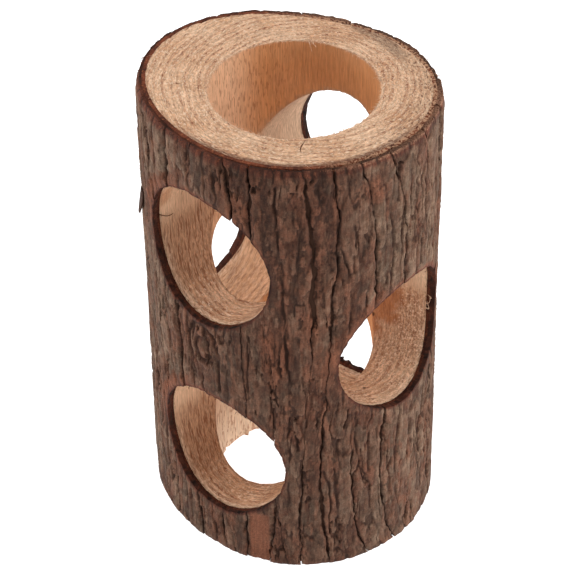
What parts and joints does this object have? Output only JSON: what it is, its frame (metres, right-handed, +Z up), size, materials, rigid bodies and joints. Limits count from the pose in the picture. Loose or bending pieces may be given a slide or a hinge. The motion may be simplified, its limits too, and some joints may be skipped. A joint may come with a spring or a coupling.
{
  "type": "hamster house",
  "caption": "Short hollow log with its bark on, bored lengthwise and cross-drilled right through three times, as a climbing house for a small rodent.",
  "frame": {"origin": "centre of the sawn base, on the surface that the log stands on", "axes": "+Z up along the log; the middle cross hole opens towards +X, the lower one towards -Y and the upper one 6 degrees from -Y towards -X"},
  "size_m": [0.1206, 0.1066, 0.2],
  "materials": {
    "wood": "rough sawn, raw pale softwood with growth rings",
    "inner_bark": "fibrous reddish-brown bast",
    "outer_bark": "rough grey-brown scaly plates"
  },
  "bodies": {
    "root": {"bark_strip_01_a": "outer_bark", "bark_strip_01_b": "outer_bark", "bark_strip_01_c": "outer_bark", "bark_strip_02_a": "outer_bark", "bark_strip_02_b": "outer_bark", "bark_strip_02_c": "outer_bark", "bark_strip_03_a": "outer_bark", "bark_strip_03_b": "outer_bark", "bark_strip_03_c": "outer_bark", "bark_strip_04_a": "outer_bark", "bark_strip_04_b": "outer_bark", "bark_strip_04_c": "outer_bark", "bark_strip_05_a": "outer_bark", "bark_strip_06_a": "outer_bark", "bark_strip_07_a": "outer_bark", "bark_strip_08_a": "outer_bark", "bark_strip_08_b": "outer_bark", "bark_strip_09_a": "outer_bark", "bark_strip_09_b": "outer_bark", "bark_strip_10_a": "outer_bark", "bark_strip_10_b": "outer_bark", "bark_strip_11_a": "outer_bark", "bark_strip_12_a": "outer_bark", "bark_strip_13_a": "outer_bark", "bark_strip_13_b": "outer_bark", "bark_strip_13_c": "outer_bark", "bark_strip_14_a": "outer_bark", "bark_strip_14_b": "outer_bark", "bark_strip_14_c": "outer_bark", "bark_strip_15_a": "outer_bark", "bark_strip_15_b": "outer_bark", "bark_strip_15_c": "outer_bark", "bark_strip_16_a": "outer_bark", "bark_strip_17_a": "outer_bark", "bark_strip_18_a": "outer_bark", "bark_strip_18_b": "outer_bark", "bark_strip_19_a": "outer_bark", "bark_strip_19_b": "outer_bark", "bark_strip_20_a": "outer_bark", "bark_strip_20_b": "outer_bark", "bark_strip_21_a": "outer_bark", "inner_bark": "inner_bark", "loose_bark_flake": "outer_bark", "wood_core": "wood"}
  },
  "joints": []
}
